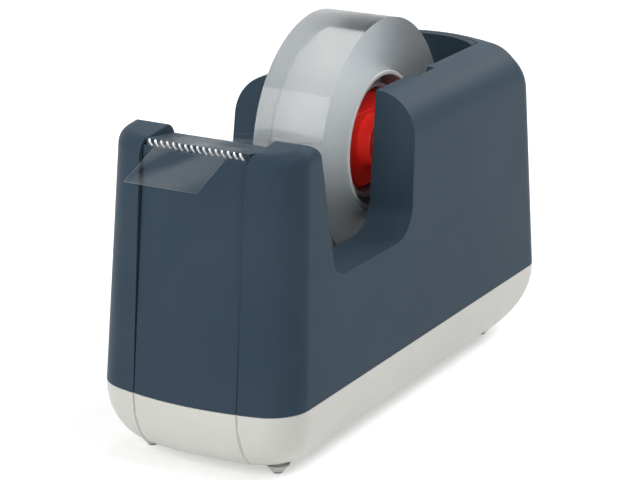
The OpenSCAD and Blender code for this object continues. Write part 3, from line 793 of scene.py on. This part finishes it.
def makeRing():
    r = ringShape
    centre = Vector((0, reel["y"], reel["z"]))
    bm = bmesh.new()
    section = ringOutline(r["inner"], r["outer"], r["half"], r["edge"])
    loop = bm.faces.new([bm.verts.new(centre + Vector((x, radius, 0))) for x, radius in section])
    rotateAbout(bm, bm.verts, r["openAt"] + r["opening"] / 2, "X", centre)
    bmesh.ops.spin(bm, geom=[loop], cent=centre, axis=(1, 0, 0), angle=math.radians(360 - r["opening"]), steps=96)
    closeHoles(bm)
    first = r["openAt"] + 180 / r["ribs"]
    deep = r["ribOuter"] - r["outer"] + r["ribSunk"]
    for i in range(r["ribs"]):
        rib = bmesh.ops.create_cube(bm, size=1)["verts"]
        bmesh.ops.scale(bm, verts=rib, vec=(2 * r["ribHalf"], deep, r["ribWidth"]))
        bmesh.ops.translate(bm, verts=rib, vec=centre + Vector((0, r["ribOuter"] - deep / 2 - r["ribRoom"], 0)))
        rotateAbout(bm, rib, first + 360 * i / r["ribs"], "X", centre)
    ring = makeObject(bm, "splitRing")
    settle(ring, "reel", [clipPlastic], ["core_clip"])


coreShape = {"inner": 16.5, "outer": 17.8, "half": 9.5, "edge": 0.25}


def makeCore():
    c = coreShape
    bm = lathe(ringOutline(c["inner"], c["outer"], c["half"], c["edge"]), steps=128)
    core = makeObject(bm, "tapeCore")
    settle(core, "reel", [corePlastic], ["tape_core"])


axleShape = {"half": 15.7, "edge": 0.5, "crease": 50}


def makeAxle():
    a = axleShape
    bm = bmesh.new()
    bmesh.ops.create_cone(bm, cap_ends=True, segments=64, radius1=reel["axle"], radius2=reel["axle"],
                          depth=2 * a["half"])
    rotateAbout(bm, bm.verts, 90, "Y")
    roundEdges(bm, edgesWhere(bm, lambda p, q: abs(p.x - q.x) < near, a["crease"]), a["edge"], segments=2)
    bmesh.ops.translate(bm, verts=bm.verts, vec=(0, reel["y"], reel["z"]))
    pin = makeObject(bm, "axlePin")
    settle(pin, "spindle", [axleSteel], ["axle"])


rollShape = {"inner": 17.85, "outer": 30.88, "half": 9.5, "edge": 0.12}
rollFilm = {
    "dark": (0.90, 0.915, 0.92), "light": (0.95, 0.96, 0.96), "bend": 1.38, "smooth": 0.10, "rough": 0.13,
    "fineness": 260.0, "specular": 0.25, "face": (0.745, 0.80, 0.832), "faceLets": 0.86, "faceRough": 0.75,
    "turnScale": 2200.0, "swing": 0.05, "bond": (0.48, 0.487, 0.483),
}


def makeRollMaterials():
    f = rollFilm
    outer, tree, shader, coords = startMaterial("woundFilm")  # clear film, through which the core shows
    grain = addNode(tree, "ShaderNodeGroup", {"node_tree": grainGroup}, {"Fineness": f["fineness"]})
    gloss = addNode(tree, "ShaderNodeMapRange", values={"To Min": f["smooth"], "To Max": f["rough"]})
    tree.links.new(coords.outputs["Object"], grain.inputs["Vector"])
    tree.links.new(blendTones(tree, grain.outputs["Drift"], f["dark"], f["light"]), shader.inputs["Base Color"])
    tree.links.new(grain.outputs["Drift"], gloss.inputs["Value"])
    tree.links.new(gloss.outputs["Result"], shader.inputs["Roughness"])
    shader.inputs["Transmission Weight"].default_value = 1.0
    shader.inputs["IOR"].default_value = f["bend"]
    shader.inputs["Specular IOR Level"].default_value = f["specular"]

    side, tree, shader, coords = startMaterial("windingFace")  # the film's cut edges, turn on turn
    shift = addNode(tree, "ShaderNodeMapping", values={"Location": (0, -reel["y"] * mm, -reel["z"] * mm)})
    flat = addNode(tree, "ShaderNodeVectorMath", {"operation": "MULTIPLY"})
    flat.inputs[1].default_value = (0, 1, 1)
    radius = addNode(tree, "ShaderNodeVectorMath", {"operation": "LENGTH"})
    turns = addNode(tree, "ShaderNodeTexNoise", {"noise_dimensions": "1D"}, {"Scale": f["turnScale"], "Detail": 3.0})
    low, high = 1 - f["swing"], 1 + f["swing"]
    tree.links.new(coords.outputs["Object"], shift.inputs["Vector"])
    tree.links.new(shift.outputs["Vector"], flat.inputs[0])
    tree.links.new(flat.outputs["Vector"], radius.inputs[0])
    tree.links.new(radius.outputs["Value"], turns.inputs["W"])
    wound = blendTones(tree, turns.outputs["Fac"], scaled(f["face"], low), scaled(f["face"], high))
    tree.links.new(wound, shader.inputs["Base Color"])
    shader.inputs["Roughness"].default_value = f["faceRough"]
    shader.inputs["Transmission Weight"].default_value = f["faceLets"]
    shader.inputs["IOR"].default_value = f["bend"]

    # the first turn, stuck to the core
    bond = plastic("coreBond", f["bond"], scaled(f["bond"], high), rough=0.5, fineness=2200, bump=0.05, specular=0.1)
    return [outer, side, bond]


def makeRoll():
    r = rollShape
    bm = lathe(ringOutline(r["inner"], r["outer"], r["half"], r["edge"]), steps=192)
    bm.normal_update()
    axis = Vector((0, reel["y"], reel["z"]))
    for face in bm.faces:
        away = face.calc_center_median() - axis
        away.x = 0
        if abs(face.normal.x) > mostly:
            face.material_index = 1  # cut side
        elif face.normal.dot(away) < 0:
            face.material_index = 2  # inner face
    roll = makeObject(bm, "woundTape")
    settle(roll, "reel", makeRollMaterials(), ["tape_roll"])


makeHub()
makeRing()
makeCore()
makeAxle()
makeRoll()
print("reel made")

# the strip of tape from the roll to the teeth
tapeStrip = {"half": 9.5, "thick": 0.1, "bends": [0, 3.0, 0.8, 0], "steps": 8, "crease": 40,
             "route": [(-18.43, 69.51), (-47.26, 76.02), (-59.03, 77.62), (-73.97, 71.83)]}
film = {"fineness": 300.0, "darker": 0.9, "rough": 0.22, "hazeFrom": 0.62, "hazeFull": 0.84}


def filmMaterial(name, tint, faint, strong, specular):  # clear film, hazier where it is seen along its face
    material, tree, shader, coords = startMaterial(name)
    grain = addNode(tree, "ShaderNodeGroup", {"node_tree": grainGroup}, {"Fineness": film["fineness"]})
    view = addNode(tree, "ShaderNodeLayerWeight", values={"Blend": 0.5})
    haze = addNode(tree, "ShaderNodeMapRange", values={"From Min": film["hazeFrom"], "From Max": film["hazeFull"],
                                                       "To Min": faint, "To Max": strong})
    tree.links.new(coords.outputs["Object"], grain.inputs["Vector"])
    tone = blendTones(tree, grain.outputs["Drift"], scaled(tint, film["darker"]), tint)
    tree.links.new(tone, shader.inputs["Base Color"])
    tree.links.new(view.outputs["Facing"], haze.inputs["Value"])
    tree.links.new(haze.outputs["Result"], shader.inputs["Alpha"])
    shader.inputs["Roughness"].default_value = film["rough"]
    shader.inputs["Specular IOR Level"].default_value = specular
    return material


def makeStrip():
    t = tapeStrip
    pts = [Vector(p) for p in t["route"]]
    shares = [j / t["steps"] for j in range(t["steps"] + 1)]
    line = [pts[0]]
    for i in range(1, len(pts) - 1):  # each bend is a short arc in place of the corner
        back, ahead = (pts[i - 1] - pts[i]).normalized(), (pts[i + 1] - pts[i]).normalized()
        a, b = pts[i] + back * t["bends"][i], pts[i] + ahead * t["bends"][i]
        line += [a * (1 - k) ** 2 + 2 * pts[i] * k * (1 - k) + b * k ** 2 for k in shares]
    line.append(pts[-1])
    bm = bmesh.new()
    ends = [bm.verts.new((side * t["half"], line[0].x, line[0].y)) for side in (-1, 1)]
    edge = bm.edges.new(ends)
    for i in range(1, len(line)):
        grown = bmesh.ops.extrude_edge_only(bm, edges=[edge])["geom"]
        edge = [g for g in grown if isinstance(g, bmesh.types.BMEdge)][0]
        step = line[i] - line[i - 1]
        bmesh.ops.translate(bm, verts=list(edge.verts), vec=(0, step.x, step.y))
    bmesh.ops.recalc_face_normals(bm, faces=bm.faces)
    for face in bm.faces:
        if face.calc_center_median().y > t["route"][1][0]:
            face.material_index = 2  # the taut part, between ledge and roll
    strip = makeObject(bm, "tapeStrip")
    thicken = strip.modifiers.new("filmThickness", "SOLIDIFY")
    thicken.thickness = t["thick"] * mm
    thicken.offset = 0
    thicken.material_offset_rim = 1  # so each film is followed by its edge in the list
    # the film over the ledge and the flap is tinted lighter than the taut film: a painted reflection of light off the
    # film
    paintedReflectionFilm = filmMaterial("ledgeFilmPaintedReflection", (0.38, 0.40, 0.42), faint=0.012, strong=0.24, specular=0.3)
    taut = filmMaterial("tautFilm", (0.14, 0.15, 0.16), faint=0.004, strong=0.2, specular=0.06)
    rim = filmMaterial("filmEdge", (0.80, 0.82, 0.83), faint=0.25, strong=0.4, specular=0.3)
    settle(strip, "housing", [paintedReflectionFilm, rim, taut, rim], ["tape_tail"], t["crease"], False)


makeStrip()
print("tape strip made")

# nodes that keep their solid
for name, material in (("roll_well", wellPlastic), ("ballast_block", axleSteel), ("ballast_screws", axleSteel),
                       ("cover_screws", axleSteel)):
    mesh = nodes[name].data
    mesh.materials.clear()
    mesh.materials.append(material)

# light and floor
studio = {"floor": (0.88, 0.88, 0.88), "floorHalf": 4, "floorRough": 0.9, "floorGlow": 0.42, "ambient": 0.28,
          "seen": 1.0, "white": (1, 1, 1, 1), "aim": (0, 0, 0.04)}
lamps = {
    "leftBox": {"place": (-0.45, -1.02, 0.6), "size": 0.8, "watts": 7.4},
    "rightBox": {"place": (0.52, -0.02, 0.9), "size": 0.45, "watts": 2.9},
    "hubFill": {"place": (0.21, -0.5, 0.22), "size": 0.12, "watts": 1.1, "aim": (0.005, 0.005, 0.062),
                "only": "redHub"},
    "topBox": {"place": (0.1, 0.8, 0.95), "size": 0.9, "watts": 5.0},
    "rearBox": {"place": (0.32, 0.88, 0.58), "size": 0.45, "watts": 2.4},
}


def makeLamps():
    for name, lamp in lamps.items():
        data = bpy.data.lights.new(name, "AREA")
        data.shape = "SQUARE"
        data.size = lamp["size"]
        data.energy = lamp["watts"]
        box = bpy.data.objects.new(name, data)
        scene.collection.objects.link(box)
        box.location = lamp["place"]
        toward = Vector(lamp.get("aim", studio["aim"])) - Vector(lamp["place"])
        box.rotation_euler = toward.to_track_quat("-Z", "Y").to_euler()
        if "only" in lamp:  # stands for the light that comes through the clear roll
            reach = bpy.data.collections.new(name + "Reach")
            reach.objects.link(bpy.data.objects[lamp["only"]])
            box.light_linking.receiver_collection = reach


def seenRays(tree):  # 1 for rays that come from the camera, through glass or from a glossy face
    path = tree.nodes.new("ShaderNodeLightPath")
    direct = addNode(tree, "ShaderNodeMath", {"operation": "MAXIMUM"})
    tree.links.new(path.outputs["Is Camera Ray"], direct.inputs[0])
    tree.links.new(path.outputs["Is Transmission Ray"], direct.inputs[1])
    seen = addNode(tree, "ShaderNodeMath", {"operation": "MAXIMUM"})
    tree.links.new(direct.outputs["Value"], seen.inputs[0])
    tree.links.new(path.outputs["Is Glossy Ray"], seen.inputs[1])
    return seen.outputs["Value"]


def makeFloor():
    bm = bmesh.new()
    bmesh.ops.create_grid(bm, x_segments=1, y_segments=1, size=studio["floorHalf"])
    mesh = bpy.data.meshes.new("studioFloor")
    bm.to_mesh(mesh)
    bm.free()
    floor = bpy.data.objects.new("studioFloor", mesh)
    scene.collection.objects.link(floor)
    material, tree, shader, _ = startMaterial("studioFloor")
    glow = addNode(tree, "ShaderNodeMath", {"operation": "MULTIPLY"})
    glow.inputs[1].default_value = studio["floorGlow"]
    tree.links.new(seenRays(tree), glow.inputs[0])
    tree.links.new(glow.outputs["Value"], shader.inputs["Emission Strength"])
    shader.inputs["Emission Color"].default_value = studio["white"]
    shader.inputs["Base Color"].default_value = (*studio["floor"], 1)
    shader.inputs["Roughness"].default_value = studio["floorRough"]
    mesh.materials.append(material)


def makeWorld():
    world = bpy.data.worlds.new("studioWorld")
    scene.world = world
    world.use_nodes = True
    tree = world.node_tree
    tree.nodes.clear()
    seen, given = [addNode(tree, "ShaderNodeBackground", values={"Color": studio["white"], "Strength": studio[key]})
                   for key in ("seen", "ambient")]
    pick = tree.nodes.new("ShaderNodeMixShader")
    out = tree.nodes.new("ShaderNodeOutputWorld")
    tree.links.new(seenRays(tree), pick.inputs["Fac"])
    tree.links.new(given.outputs["Background"], pick.inputs[1])
    tree.links.new(seen.outputs["Background"], pick.inputs[2])
    tree.links.new(pick.outputs["Shader"], out.inputs["Surface"])


makeFloor()
makeWorld()
makeLamps()
scene.view_settings.view_transform = "Standard"
print("studio made")
